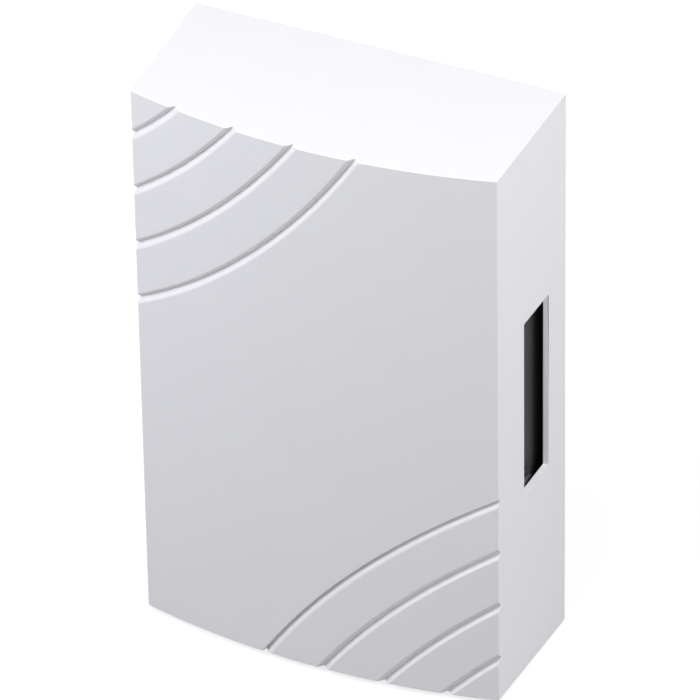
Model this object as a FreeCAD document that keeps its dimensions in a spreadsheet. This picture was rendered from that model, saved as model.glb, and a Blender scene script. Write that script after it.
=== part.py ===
import FreeCAD, Part
import math
import os
import re
import Sketcher

# A two-note door chime for the wall. The origin is the middle of its back, on the wall:
# +X to the right as one faces it, +Y into the wall and +Z up. All lengths are millimetres.

Vector = FreeCAD.Vector
Rotation = FreeCAD.Rotation
Placement = FreeCAD.Placement

doc = FreeCAD.newDocument("door_chime")
sheet = doc.addObject("Spreadsheet::Sheet", "Sizes")

# Driving dimensions: name, value and what it measures

driving = [
    ("case_width", 123.5, "width of the cover at the wall"),
    ("case_height", 200, "height of the cover at the wall"),
    ("side_taper", 1.25, "how far each side leans in by the front corners"),
    ("top_taper", 2, "how far the top and bottom lean in by the front corners"),
    ("side_depth", 48.5, "wall to the front corners"),
    ("crown", 7.7, "how far the face bows out at its middle"),
    ("side_wall", 1.6, "thickness of the cover's four sides"),
    ("face_wall", 3, "thickness of the cover's face"),
    ("edge_round", 0.5, "rounding of the cover's outer edges"),
    ("slot_height", 64.7, "height of a sound slot"),
    ("slot_width", 17.3, "width of a sound slot, front to back"),
    ("slot_rise", 1.2, "middle of a sound slot above the middle of the case"),
    ("groove_reach", 123, "front corner to the arcs' centre, across and up"),
    ("groove_first", 16.4, "front corner to where the first arc meets an edge"),
    ("groove_pitch", 20.3, "step along the edge from arc to arc"),
    ("groove_width", 3.4, "width of a groove at the face"),
    ("groove_floor", 0.3, "width of a groove at its bottom"),
    ("groove_depth", 1.5, "depth of a groove"),
    ("groove_lip", 0.35, "half width of the eased lip along a groove"),
    ("lip_drop", 0.12, "how far the eased lip falls below the face"),
    ("rib_inset", 9.75, "side of the case to a cover rib's middle"),
    ("rib_thick", 1.6, "thickness of a cover rib"),
    ("rib_width", 5, "how far a cover rib stands in from the wall of the case"),
    ("rib_length", 12, "length of a cover rib, front to back"),
    ("base_thick", 2.5, "thickness of the base plate"),
    ("base_gap", 0.4, "base plate to the cover all round"),
    ("base_round", 2, "corner radius of the base plate"),
    ("running_gap", 0.3, "gap between the cover and what it slides past"),
    ("ease", 0.05, "gap of a pushed-in or threaded fit"),
    ("tongue_width", 22, "width of a friction tongue"),
    ("tongue_height", 11, "how far a tongue stands off the base plate"),
    ("tongue_thick", 2, "thickness of a friction tongue"),
    ("tongue_spread", 34, "middle of the case to a tongue's middle"),
    ("keyhole_margin", 30, "keyhole's round head below the case's top"),
    ("keyhole_head", 9, "diameter of the keyhole's head"),
    ("keyhole_neck", 4.5, "width of the keyhole's neck"),
    ("keyhole_run", 8, "head centre to the neck's end centre"),
    ("wall_slot_width", 4.5, "width of a lower wall screw slot"),
    ("wall_slot_length", 9, "end to end length of a lower wall screw slot"),
    ("wall_slot_spacing", 74, "between the two lower wall screws"),
    ("wall_slot_margin", 22, "lower wall screws above the case's foot"),
    ("cable_margin", 15, "cable entry above the case's foot"),
    ("cable_hole", 13, "diameter of the cable hole in the base plate"),
    ("cable_recess", 1.3, "depth of the recess behind the cable hole"),
    ("cable_bore", 8, "diameter of the bore through the cable grommet"),
    ("cable_flange", 17, "diameter of the cable grommet's two flanges"),
    ("cable_front", 1.4, "thickness of the cable grommet's front flange"),
    ("strike_depth", 21, "wall to the striker's axis and the plates' middle"),
    ("cap_clearance", 0.9, "push-on cap to the cover's side"),
    ("plate_thick", 2, "thickness of a tone plate"),
    ("plate_width", 30, "width of a tone plate, front to back"),
    ("high_length", 126, "length of the high tone plate"),
    ("low_length", 142, "length of the low tone plate"),
    ("plate_round", 1.5, "corner radius of a tone plate"),
    ("node_share", 0.224, "still point of a free plate, as a share of its length"),
    ("peg_diameter", 4, "diameter of the pegs that carry the tone plates"),
    ("neck_diameter", 8, "diameter of a grommet where it passes the plate"),
    ("grommet_diameter", 12, "diameter of a grommet's flanges"),
    ("grommet_inner", 2.5, "thickness of a grommet's inner flange"),
    ("grommet_outer", 1.2, "thickness of a grommet's outer flange"),
    ("cap_diameter", 9, "diameter of the push-on caps"),
    ("cap_thick", 1.4, "thickness of the push-on caps"),
    ("bracket_thick", 3, "thickness of a plate bracket"),
    ("bracket_width", 14, "width of a plate bracket"),
    ("gusset_thick", 2, "thickness of the web behind a bracket"),
    ("gusset_reach", 10, "length of the web's foot along the base plate"),
    ("gusset_height", 14, "height of the web behind a bracket"),
    ("coil_length", 42, "length of the coil bobbin"),
    ("flange_diameter", 27, "diameter of the bobbin's flanges"),
    ("flange_thick", 1.6, "thickness of the bobbin's flanges"),
    ("hub_wall", 1.2, "wall of the bobbin's hub"),
    ("winding_diameter", 23.6, "diameter of the wound wire"),
    ("wrap_thick", 0.3, "thickness of the tape round the winding"),
    ("tube_wall", 0.5, "wall of the guide tube"),
    ("tube_left", 30, "guide tube's end left of the middle"),
    ("tube_right", 26, "guide tube's end right of the middle"),
    ("core_diameter", 8.8, "diameter of the iron core"),
    ("core_length", 34, "length of the iron core"),
    ("core_chamfer", 0.5, "chamfer at the core's ends"),
    ("core_gap", 0.05, "running gap of the core in its tube"),
    ("bush_wall", 1.4, "wall of the bushes on the tube's ends"),
    ("bush_grip", 3, "how far a bush reaches over the tube"),
    ("rod_diameter", 4, "diameter of the striker rods"),
    ("rod_tip_round", 1.6, "rounding of a striker rod's tip"),
    ("stud_diameter", 3, "diameter of the rod's stud in the core"),
    ("stud_length", 6, "length of the rod's stud in the core"),
    ("ding_gap", 9, "right tip to the high plate at rest"),
    ("dong_gap", 3, "left tip to the low plate at rest"),
    ("clip_setback", 2.5, "left tip to the clip's groove"),
    ("clip_thick", 0.8, "thickness of the stop clip"),
    ("clip_diameter", 9.6, "outer diameter of the stop clip"),
    ("clip_groove", 0.4, "depth of the rod's groove for the clip"),
    ("clip_mouth", 2.6, "width of the stop clip's opening"),
    ("spring_diameter", 7.4, "outer diameter of the return spring"),
    ("spring_wire", 0.6, "wire of the return spring"),
    ("spring_gap", 0.2, "spring to the seat and clip at rest"),
    ("yoke_thick", 1.5, "thickness of the coil frame's strip"),
    ("yoke_width", 24, "width of the coil frame, up and down"),
    ("yoke_front", 12, "coil frame's cheeks in front of the striker's axis"),
    ("yoke_gap", 0.3, "coil bobbin to the frame's strap"),
    ("ear_width", 14, "width of the frame's fixing ears"),
    ("ear_spread", 18, "striker's axis to a frame screw"),
    ("ear_margin", 4, "frame screw to the ear's end"),
    ("boss_diameter", 8, "diameter of the bosses under the ears"),
    ("pad_width", 6, "width of the pads under the frame's ends"),
    ("screw_shank", 2.5, "diameter of the self-tapping screws"),
    ("screw_head", 5.6, "diameter of the self-tapping screws' heads"),
    ("screw_head_height", 2, "height of the self-tapping screws' heads"),
    ("screw_floor", 0.8, "base plate left behind a screw hole"),
    ("screw_play", 0.35, "gap round a screw in what it clamps"),
    ("drive_width", 0.8, "width of the slots in the screw heads"),
    ("drive_depth", 0.9, "depth of the slots in the screw heads"),
    ("block_margin", 35, "terminal block's middle above the case's foot"),
    ("block_width", 25, "width of the terminal block without its feet"),
    ("block_height", 14, "height of the terminal block, up and down"),
    ("block_depth", 11, "how far the block stands off the base plate"),
    ("block_wall", 2, "wall above the terminal pockets"),
    ("foot_width", 8, "width of each of the block's feet"),
    ("foot_thick", 3, "thickness of the block's feet"),
    ("terminal_pitch", 13, "between the two terminals"),
    ("pocket_width", 9, "width of a terminal pocket"),
    ("pocket_depth", 6, "depth of a terminal pocket"),
    ("contact_thick", 0.8, "thickness of the contact strips"),
    ("contact_width", 6, "width of the contact strips"),
    ("contact_end", 1, "contact strip to the block's lower face"),
    ("tag_width", 3, "width of the solder tags"),
    ("tag_reach", 6, "how far the solder tags stand above the block"),
    ("washer_width", 6.6, "side of the square clamp washers"),
    ("washer_thick", 0.8, "thickness of the square clamp washers"),
    ("clamp_shank", 3, "diameter of the terminal screws"),
    ("clamp_head", 5.8, "diameter of the terminal screws' heads"),
    ("clamp_head_height", 1.8, "height of the terminal screws' heads"),
    ("clamp_length", 4, "length of the terminal screws under the head"),
    ("lead_diameter", 1.3, "diameter of the coil's leads"),
    ("lead_spread", 14, "coil leads' start from the middle of the coil"),
    ("lead_setback", 8, "coil leads' start behind the striker's axis"),
]

for row, (name, number, note) in enumerate(driving, start=1):
    sheet.set(f"A{row}", name)
    sheet.set(f"B{row}", str(number))
    sheet.set(f"C{row}", note)
    sheet.setAlias(f"B{row}", name)
doc.recompute()

name_pattern = re.compile(r"\b(" + "|".join(name for name, number, note in driving) + r")\b")


# Helpers: a length is written as a formula in the names above


def tie(formula):
    """The formula with each driving name pointed at its cell."""
    return name_pattern.sub(r"Sizes.\1", formula)


def value(formula):
    """What the formula comes to, in millimetres."""
    return float(sheet.evalExpression(tie(formula)))


def box(name, x, y, z):
    """A block from its low and high formulas along X, Y and Z."""
    item = doc.addObject("Part::Box", name)
    spans = zip(("Length", "Width", "Height"), "xyz", (x, y, z))
    for prop, axis, (low, high) in spans:
        item.setExpression(prop, tie(f"({high}) - ({low})"))
        item.setExpression(f"Placement.Base.{axis}", tie(low))
    return item


turned_to = {
    "x": Rotation(Vector(0, 1, 0), 90),
    "y": Rotation(Vector(1, 0, 0), -90),
    "z": Rotation(),
}


def cylinder(name, axis, diameter, span, centre):
    """A round bar along one axis over a span; centre gives the other two coordinates in order."""
    item = doc.addObject("Part::Cylinder", name)
    item.Placement = Placement(Vector(), turned_to[axis])
    item.setExpression("Radius", tie(f"({diameter}) / 2"))
    item.setExpression("Height", tie(f"({span[1]}) - ({span[0]})"))
    others = [letter for letter in "xyz" if letter != axis]
    item.setExpression(f"Placement.Base.{axis}", tie(span[0]))
    for letter, place in zip(others, centre):
        item.setExpression(f"Placement.Base.{letter}", tie(place))
    return item


def fuse(name, pieces):
    item = doc.addObject("Part::MultiFuse", name)
    item.Shapes = pieces
    item.Refine = True
    return item


def cut(name, base, tools):
    item = doc.addObject("Part::Cut", name)
    item.Base = base
    item.Tool = tools[0] if len(tools) == 1 else fuse(name + "_tools", tools)
    return item


def common(name, base, tool):
    item = doc.addObject("Part::Common", name)
    item.Base = base
    item.Tool = tool
    return item


def rounded(name, base, radius, wanted):
    """The base with the edges that wanted picks rounded."""
    doc.recompute()
    item = doc.addObject("Part::Fillet", name)
    item.Base = base
    edges = enumerate(base.Shape.Edges, start=1)
    item.Edges = [(index, radius, radius) for index, edge in edges if wanted(edge)]
    return item


def group(name, pieces):
    """Like pieces that stay separate solids under one name."""
    item = doc.addObject("Part::Compound", name)
    item.Links = pieces
    return item


def new_body(name):
    return doc.addObject("PartDesign::Body", name)


def new_sketch(body, name, plane, offset="0"):
    """A sketch on one of the body's own planes, set off along that plane's normal."""
    sketch = body.newObject("Sketcher::SketchObject", name)
    support = [item for item in body.Origin.OriginFeatures if item.Role == plane][0]
    sketch.AttachmentSupport = [(support, "")]
    sketch.MapMode = "FlatFace"
    sketch.setExpression("AttachmentOffset.Base.z", tie(offset))
    return sketch


def set_constraint(sketch, kind, *where, formula):
    index = sketch.addConstraint(Sketcher.Constraint(kind, *where, value(formula)))
    sketch.setExpression(f"Constraints[{index}]", tie(formula))


def draw_outline(sketch, corners):
    """A closed outline of straight lines through corners given as two formulas each."""
    first = sketch.GeometryCount
    count = len(corners)
    points = [Vector(value(across), value(up)) for across, up in corners]
    for index in range(count):
        sketch.addGeometry(Part.LineSegment(points[index], points[(index + 1) % count]))
    for index in range(count):
        following = first + (index + 1) % count
        sketch.addConstraint(Sketcher.Constraint("Coincident", first + index, 2, following, 1))
    for index, (across, up) in enumerate(corners):
        set_constraint(sketch, "DistanceX", first + index, 1, formula=across)
        set_constraint(sketch, "DistanceY", first + index, 1, formula=up)


def draw_rectangle(sketch, across, up):
    """A rectangle from its low and high formulas."""
    (left, right), (low, high) = across, up
    draw_outline(sketch, [(left, low), (right, low), (right, high), (left, high)])


def draw_circle(sketch, across, up, diameter):
    radius = f"({diameter}) / 2"
    circle = Part.Circle(Vector(value(across), value(up)), Vector(0, 0, 1), value(radius))
    index = sketch.addGeometry(circle)
    set_constraint(sketch, "DistanceX", index, 3, formula=across)
    set_constraint(sketch, "DistanceY", index, 3, formula=up)
    set_constraint(sketch, "Radius", index, formula=radius)


def pad(body, sketch, length):
    feature = body.newObject("PartDesign::Pad", sketch.Name + "_pad")
    feature.Profile = sketch
    feature.setExpression("Length", tie(length))
    return feature


def turned_body(name, axis, corners):
    """A body turned about X from (x, radius) corners, or about Y from (radius, y) corners."""
    body = new_body(name)
    sketch = new_sketch(body, name + "_profile", "XY_Plane")
    draw_outline(sketch, corners)
    turning = body.newObject("PartDesign::Revolution", name + "_turned")
    turning.Profile = sketch
    turning.ReferenceAxis = (sketch, ["H_Axis" if axis == "x" else "V_Axis"])
    turning.Angle = 360
    return body


def put(item, x="0", y="0", z="0"):
    """Places a piece by three formulas."""
    for letter, place in zip("xyz", (x, y, z)):
        item.setExpression(f"Placement.Base.{letter}", tie(place))
    return item


sub_parts = []


def finish(item, label):
    """Names a finished sub-part and lists it for writing."""
    item.Label = label
    sub_parts.append(item)
    return item


sides = (("left", "-1"), ("right", "1"))
levels = (("lower", "-1"), ("upper", "1"))

# Sizes that several sub-parts share, worked out from the driving dimensions

face_width = "(case_width - 2 * side_taper)"
face_height = "(case_height - 2 * top_taper)"
side_draft = "(side_taper / side_depth)"
top_draft = "(top_taper / side_depth)"
cap_front_depth = "(strike_depth + cap_diameter / 2)"
cap_face = f"(case_width / 2 - side_wall - {side_draft} * {cap_front_depth} - cap_clearance)"
plate_face = f"({cap_face} - cap_thick - grommet_outer - plate_thick)"
block_drop = "(case_height / 2 - block_margin)"
cable_drop = "(case_height / 2 - cable_margin)"
wall_slot_drop = "(case_height / 2 - wall_slot_margin)"
keyhole_rise = "(case_height / 2 - keyhole_margin)"

# Front cover: one white moulding with drafted sides, a crowned face, a sound slot in each side
# and four grooves swept round two opposite corners

crown_radius = f"(({face_width} / 2)^2 + crown^2) / (2 * crown)"
crown_centre = f"{crown_radius} - side_depth - crown"


def drafted_block(name, inset, front, rear):
    """The block inside the drafted sides, a wall thickness in, between two depths."""
    item = doc.addObject("Part::Wedge", name)
    item.setExpression("Ymin", tie(f"-({front})"))
    item.setExpression("Ymax", tie(f"-({rear})"))
    for letter, half_size, draft in (
        ("X", "case_width / 2", side_draft),
        ("Z", "case_height / 2", top_draft),
    ):
        at_front = tie(f"{half_size} - ({inset}) - {draft} * ({front})")
        at_rear = tie(f"{half_size} - ({inset}) - {draft} * ({rear})")
        item.setExpression(f"{letter}min", f"-({at_front})")
        item.setExpression(f"{letter}max", at_front)
        item.setExpression(f"{letter}2min", f"-({at_rear})")
        item.setExpression(f"{letter}2max", at_rear)
    return item


def crown_drum(name, inset):
    """The upright drum whose side is the crowned face, a wall thickness in."""
    item = doc.addObject("Part::Cylinder", name)
    item.setExpression("Radius", tie(f"{crown_radius} - ({inset})"))
    item.setExpression("Height", tie("2 * case_height"))
    return put(item, y=crown_centre, z="-case_height")


def not_on_the_wall(edge):
    return edge.BoundBox.YMin < -value("side_depth") / 100


block_front = "side_depth + 2 * crown"
outer_block = common(
    "cover_outside",
    drafted_block("cover_outer_sides", "0", block_front, "0"),
    crown_drum("cover_outer_face", "0"),
)
outer_shell = rounded("cover_rounded", outer_block, value("edge_round"), not_on_the_wall)
hollow = common(
    "cover_inside",
    drafted_block("cover_inner_sides", "side_wall", block_front, "-side_wall"),
    crown_drum("cover_inner_face", "face_wall"),
)

slots = []
for side, sign in sides:
    outside = f"{sign} * case_width"
    inside = f"{sign} * (case_width / 2 - 4 * side_wall)"
    slots.append(
        box(
            f"sound_slot_{side}",
            (outside, inside) if side == "left" else (inside, outside),
            ("-strike_depth - slot_width / 2", "-strike_depth + slot_width / 2"),
            ("slot_rise - slot_height / 2", "slot_rise + slot_height / 2"),
        )
    )

groove_count = 4
groove_stations = 9


def groove_section(centre, radius, angle):
    """The groove's vee across the arc at one angle, standing square to the crowned face."""
    drum = value(crown_radius)
    arm = Vector(math.cos(angle), 0, math.sin(angle))
    place = centre + arm * radius
    place.y = value(crown_centre) - math.sqrt(drum**2 - place.x**2)
    outward = Vector(place.x, place.y - value(crown_centre), 0).normalize()
    across = (arm - outward * arm.dot(outward)).normalize()
    depth = value("groove_depth")
    drop = value("lip_drop")
    above_lip = value("groove_width / 2 + groove_lip")
    below_lip = value("groove_width / 2 - groove_lip")
    half = [
        (above_lip, depth),
        (above_lip, drop),
        (below_lip, -drop),
        (value("groove_floor / 2"), -depth),
    ]
    outline = half + [(-reach, rise) for reach, rise in reversed(half)]
    corners = [place + across * reach + outward * rise for reach, rise in outline]
    return Part.makePolygon(corners + corners[:1])


def groove_cutter(turn, index):
    """One groove, run a little past both edges; turn is 1 at the upper left, -1 at the lower right."""
    reach = value("groove_reach")
    along = value(f"groove_first + {index} * groove_pitch")
    centre = Vector(-value(face_width) / 2 - reach, 0, value(face_height) / 2 + reach) * turn
    radius = math.hypot(reach, reach + along)
    past_edge = 2 * value("groove_width") / radius
    nearest = math.atan2(reach, reach + along) - past_edge
    furthest = math.pi / 2 - nearest
    first_angle = 0 if turn == 1 else math.pi
    sections = []
    for station in range(groove_stations):
        share = station / (groove_stations - 1)
        angle = first_angle - (nearest + (furthest - nearest) * share)
        sections.append(groove_section(centre, radius, angle))
    cutter = doc.addObject("Part::Feature", f"groove_{'upper' if turn == 1 else 'lower'}_{index + 1}")
    cutter.Shape = Part.makeLoft(sections, True, False)
    return cutter


grooves = [groove_cutter(turn, index) for turn in (1, -1) for index in range(groove_count)]

ribs = []
for side, sign in sides:
    middle = f"{sign} * (case_width / 2 - rib_inset)"
    for level, way in levels:
        near_edge = f"{way} * (case_height / 2 - side_wall)"
        far_edge = f"{way} * (case_height / 2 - side_wall - rib_width)"
        ribs.append(
            box(
                f"cover_rib_{side}_{level}",
                (f"{middle} - rib_thick / 2", f"{middle} + rib_thick / 2"),
                ("-base_thick - running_gap - rib_length", "-base_thick - running_gap"),
                (near_edge, far_edge) if level == "lower" else (far_edge, near_edge),
            )
        )

cover_walls = cut("cover_walls", outer_shell, [hollow] + slots + grooves)
finish(fuse("cover", [cover_walls] + ribs), "front_cover")

# Base plate: black moulding that carries everything and hangs on the wall

base_width = "(case_width - 2 * side_wall - 2 * base_gap)"
base_height = "(case_height - 2 * side_wall - 2 * base_gap)"
base_front = "-base_thick"
strap_rear = "strike_depth - flange_diameter / 2 - yoke_gap - yoke_thick"


def along_plate(edge):
    box_of_edge = edge.BoundBox
    return box_of_edge.YLength > value("base_thick") / 2 and box_of_edge.XLength < 0.01


slab = box(
    "base_slab",
    (f"-{base_width} / 2", f"{base_width} / 2"),
    (base_front, "0"),
    (f"-{base_height} / 2", f"{base_height} / 2"),
)
plate = rounded("base_rounded", slab, value("base_round"), along_plate)

base_adds = [plate]
tongue_inset = f"side_wall + running_gap + {top_draft} * (base_thick + tongue_height)"
for side, sign in sides:
    for level, way in levels:
        outer = f"{way} * (case_height / 2 - ({tongue_inset}))"
        inner = f"{way} * (case_height / 2 - ({tongue_inset}) - tongue_thick)"
        base_adds.append(
            box(
                f"tongue_{side}_{level}",
                (
                    f"{sign} * tongue_spread - tongue_width / 2",
                    f"{sign} * tongue_spread + tongue_width / 2",
                ),
                ("-base_thick - tongue_height", "-base_thick / 2"),
                (outer, inner) if level == "lower" else (inner, outer),
            )
        )

plate_lengths = {"left": "low_length", "right": "high_length"}
bracket_face = f"({plate_face} - grommet_inner)"


def still_point(side, way):
    """Height of a plate's hole, where the ringing plate stands still."""
    return f"{way} * (0.5 - node_share) * {plate_lengths[side]}"


def gusset(name, sign, height):
    """A triangular web between the base plate and the inner side of a bracket."""
    body = new_body(name)
    sketch = new_sketch(body, name + "_sketch", "XY_Plane", f"{height} - gusset_thick / 2")
    edge = f"{sign} * ({bracket_face} - bracket_thick / 2)"
    toe = f"{sign} * ({bracket_face} - bracket_thick - gusset_reach)"
    corners = [
        (edge, "-base_thick / 2"),
        (edge, "-base_thick - gusset_height"),
        (f"{sign} * ({bracket_face} - bracket_thick)", "-base_thick - gusset_height"),
        (toe, "-base_thick"),
        (toe, "-base_thick / 2"),
    ]
    draw_outline(sketch, corners)
    pad(body, sketch, "gusset_thick")
    return body


for side, sign in sides:
    for level, way in levels:
        tag = f"{side}_{level}"
        height = still_point(side, way)
        front_side = f"{sign} * {bracket_face}"
        back_side = f"{sign} * ({bracket_face} - bracket_thick)"
        span = (front_side, back_side) if side == "left" else (back_side, front_side)
        peg_tip = f"{sign} * {cap_face}"
        peg_span = (peg_tip, back_side) if side == "left" else (back_side, peg_tip)
        half = "bracket_width / 2"
        base_adds += [
            box(
                f"bracket_{tag}",
                span,
                ("-strike_depth", "-base_thick / 2"),
                (f"{height} - {half}", f"{height} + {half}"),
            ),
            cylinder(f"bracket_top_{tag}", "x", "bracket_width", span, ("-strike_depth", height)),
            cylinder(f"peg_{tag}", "x", "peg_diameter", peg_span, ("-strike_depth", height)),
            gusset(f"gusset_{tag}", sign, height),
        ]

base_holes = []
for level, way in levels:
    boss_centre = ("0", f"{way} * ear_spread")
    boss_span = (f"-({strap_rear})", "-base_thick / 2")
    hole_span = (f"-({strap_rear}) - 1", "-screw_floor")
    base_adds.append(cylinder(f"boss_{level}", "y", "boss_diameter", boss_span, boss_centre))
    base_holes.append(
        cylinder(f"boss_hole_{level}", "y", "screw_shank + 2 * ease", hole_span, boss_centre)
    )
for side, sign in sides:
    near, far = f"{sign} * (coil_length / 2 - pad_width)", f"{sign} * (coil_length / 2)"
    base_adds.append(
        box(
            f"coil_pad_{side}",
            (far, near) if side == "left" else (near, far),
            (f"-({strap_rear})", "-base_thick / 2"),
            ("-yoke_width / 3", "yoke_width / 3"),
        )
    )
    foot_hole = (f"{sign} * (block_width / 2 + foot_width / 2)", f"-{block_drop}")
    base_holes.append(
        cylinder(
            f"foot_hole_{side}",
            "y",
            "screw_shank + 2 * ease",
            ("-base_thick - 1", "-screw_floor"),
            foot_hole,
        )
    )

through = ("-base_thick - 1", "1")
neck_top = f"{keyhole_rise} + keyhole_run"
base_holes += [
    cylinder("keyhole_round", "y", "keyhole_head", through, ("0", keyhole_rise)),
    cylinder("keyhole_neck_end", "y", "keyhole_neck", through, ("0", neck_top)),
    box(
        "keyhole_neck_run",
        ("-keyhole_neck / 2", "keyhole_neck / 2"),
        through,
        (keyhole_rise, neck_top),
    ),
    cylinder("cable_way", "y", "cable_hole", through, ("0", f"-{cable_drop}")),
    cylinder(
        "cable_way_recess",
        "y",
        "cable_flange + 4 * ease",
        ("-cable_recess", "1"),
        ("0", f"-{cable_drop}"),
    ),
]
half_run = "(wall_slot_length - wall_slot_width) / 2"
for side, sign in sides:
    middle = f"{sign} * wall_slot_spacing / 2"
    base_holes.append(
        box(
            f"wall_slot_{side}",
            (f"{middle} - {half_run}", f"{middle} + {half_run}"),
            through,
            (
                f"-{wall_slot_drop} - wall_slot_width / 2",
                f"-{wall_slot_drop} + wall_slot_width / 2",
            ),
        )
    )
    for end, way in sides:
        slot_end = (f"{middle} + {way} * {half_run}", f"-{wall_slot_drop}")
        base_holes.append(
            cylinder(f"wall_slot_{side}_{end}_end", "y", "wall_slot_width", through, slot_end)
        )

base = cut("base", fuse("base_solid", base_adds), base_holes)
finish(base, "base_plate")

# Tone plates: blackened steel plates, drilled at their still points, the short one sounding higher


def tone_plate(name, side, sign):
    body = new_body(name)
    offset = plate_face if side == "right" else f"-{plate_face} - plate_thick"
    sketch = new_sketch(body, name + "_sketch", "YZ_Plane", offset)
    half_length = f"{plate_lengths[side]} / 2"
    across = ("-strike_depth - plate_width / 2", "-strike_depth + plate_width / 2")
    draw_rectangle(sketch, across, (f"-{half_length}", half_length))
    for level, way in levels:
        draw_circle(sketch, "-strike_depth", still_point(side, way), "neck_diameter + 2 * ease")
    blank = pad(body, sketch, "plate_thick")
    doc.recompute()
    corners = []
    for index, edge in enumerate(blank.Shape.Edges, start=1):
        straight = len(edge.Vertexes) == 2 and edge.BoundBox.XLength > value("plate_thick") / 2
        at_end = abs(edge.CenterOfMass.z) > value(half_length) * 0.99
        if straight and at_end:
            corners.append(f"Edge{index}")
    rounding = body.newObject("PartDesign::Fillet", name + "_corners")
    rounding.Base = (blank, corners)
    rounding.setExpression("Radius", tie("plate_round"))
    body.Tip = rounding
    return finish(body, name)


tone_plate("tone_plate_high", "right", "1")
tone_plate("tone_plate_low", "left", "-1")

# Rubber grommets: they sit in the plates' holes and let the plates ring

grommet_face = "plate_thick + grommet_outer"
grommet_profile = [
    ("-grommet_inner", "peg_diameter / 2 + ease"),
    ("-grommet_inner", "grommet_diameter / 2"),
    ("0", "grommet_diameter / 2"),
    ("0", "neck_diameter / 2"),
    ("plate_thick", "neck_diameter / 2"),
    ("plate_thick", "grommet_diameter / 2"),
    (grommet_face, "grommet_diameter / 2"),
    (grommet_face, "peg_diameter / 2 + ease"),
]

# Push-on caps: small nylon rings pressed on the pegs to keep the plates on

cap_profile = [
    (grommet_face, "peg_diameter / 2 + ease"),
    (grommet_face, "cap_diameter / 2"),
    (f"{grommet_face} + cap_thick / 2", "cap_diameter / 2"),
    (f"{grommet_face} + cap_thick", "cap_diameter / 2 - cap_thick / 2"),
    (f"{grommet_face} + cap_thick", "peg_diameter / 2 + ease"),
]

facing_left = Rotation(Vector(0, 0, 1), 180)
for side, sign in sides:
    note = "high" if side == "right" else "low"
    for kind, profile in (("grommets", grommet_profile), ("caps", cap_profile)):
        pair = []
        for level, way in levels:
            piece = turned_body(f"{kind}_{side}_{level}", "x", profile)
            if side == "left":
                piece.Placement = Placement(Vector(), facing_left)
            pair.append(put(piece, f"{sign} * {plate_face}", "-strike_depth", still_point(side, way)))
        finish(group(f"{kind}_{side}", pair), f"{note}_plate_{kind}")

# Coil bobbin: nylon reel on the guide tube, with the winding and its tape between the flanges

bobbin_bore = "core_diameter / 2 + core_gap + tube_wall + ease"
half_coil = "coil_length / 2"
hub_radius = f"{bobbin_bore} + hub_wall"
inner_half = f"{half_coil} - flange_thick"
bobbin = turned_body(
    "bobbin",
    "x",
    [
        (f"-{half_coil}", bobbin_bore),
        (f"-{half_coil}", "flange_diameter / 2"),
        (f"-({inner_half})", "flange_diameter / 2"),
        (f"-({inner_half})", hub_radius),
        (inner_half, hub_radius),
        (inner_half, "flange_diameter / 2"),
        (half_coil, "flange_diameter / 2"),
        (half_coil, bobbin_bore),
    ],
)
finish(put(bobbin, y="-strike_depth"), "coil_bobbin")


def sleeve(name, inner_radius, outer_radius, left, right):
    """A plain ring about the striker's axis."""
    corners = [(left, inner_radius), (left, outer_radius), (right, outer_radius), (right, inner_radius)]
    return put(turned_body(name, "x", corners), y="-strike_depth")


winding_end = f"{inner_half} - ease"
winding_start = f"{hub_radius} + ease"
winding_top = "winding_diameter / 2"
wrap_start = f"{winding_top} + ease"
wrap_top = f"{wrap_start} + wrap_thick"
winding = sleeve("winding", winding_start, winding_top, f"-({winding_end})", winding_end)
wrap = sleeve("wrap", wrap_start, wrap_top, f"-({winding_end})", winding_end)
finish(winding, "coil_winding")
finish(wrap, "coil_tape")

# Guide tube: thin brass tube that the core slides in, right through the bobbin

tube_bore = "core_diameter / 2 + core_gap"
tube = sleeve("tube", tube_bore, f"{tube_bore} + tube_wall", "-tube_left", "tube_right")
finish(tube, "guide_tube")

# Bushes: nylon caps on the tube's ends that the striker rods pass; the left one seats the spring

rod_way = "rod_diameter / 2 + running_gap"
bush_seat = f"{tube_bore} + tube_wall + ease"


def end_bush(name, tube_end, outward):
    """A cap over one end of the tube; outward is 1 on the right, -1 on the left."""
    face = f"{outward} * ({tube_end} + bush_wall)"
    stop = f"{outward} * {tube_end}"
    mouth = f"{outward} * ({tube_end} - bush_grip)"
    corners = [
        (face, rod_way),
        (face, f"{bush_seat} + bush_wall"),
        (mouth, f"{bush_seat} + bush_wall"),
        (mouth, bush_seat),
        (stop, bush_seat),
        (stop, rod_way),
    ]
    return put(turned_body(name, "x", corners), y="-strike_depth")


finish(end_bush("left_bush", "tube_left", "-1"), "spring_seat")
finish(end_bush("right_bush", "tube_right", "1"), "end_bush")

# Coil frame: plated steel strip bent to a channel round the coil, screwed to the base plate

frame = new_body("frame")
strap = new_sketch(frame, "strap", "XZ_Plane", strap_rear)
frame_half = f"{half_coil} + ease + yoke_thick"
ear_end = "ear_spread + ear_margin"
strap_corners = [
    (f"-({frame_half})", "-yoke_width / 2"),
    ("-ear_width / 2", "-yoke_width / 2"),
    ("-ear_width / 2", f"-({ear_end})"),
    ("ear_width / 2", f"-({ear_end})"),
    ("ear_width / 2", "-yoke_width / 2"),
    (frame_half, "-yoke_width / 2"),
    (frame_half, "yoke_width / 2"),
    ("ear_width / 2", "yoke_width / 2"),
    ("ear_width / 2", ear_end),
    ("-ear_width / 2", ear_end),
    ("-ear_width / 2", "yoke_width / 2"),
    (f"-({frame_half})", "yoke_width / 2"),
]
draw_outline(strap, strap_corners)
for level, way in levels:
    draw_circle(strap, "0", f"{way} * ear_spread", "screw_shank + 2 * screw_play")
pad(frame, strap, "yoke_thick")
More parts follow.
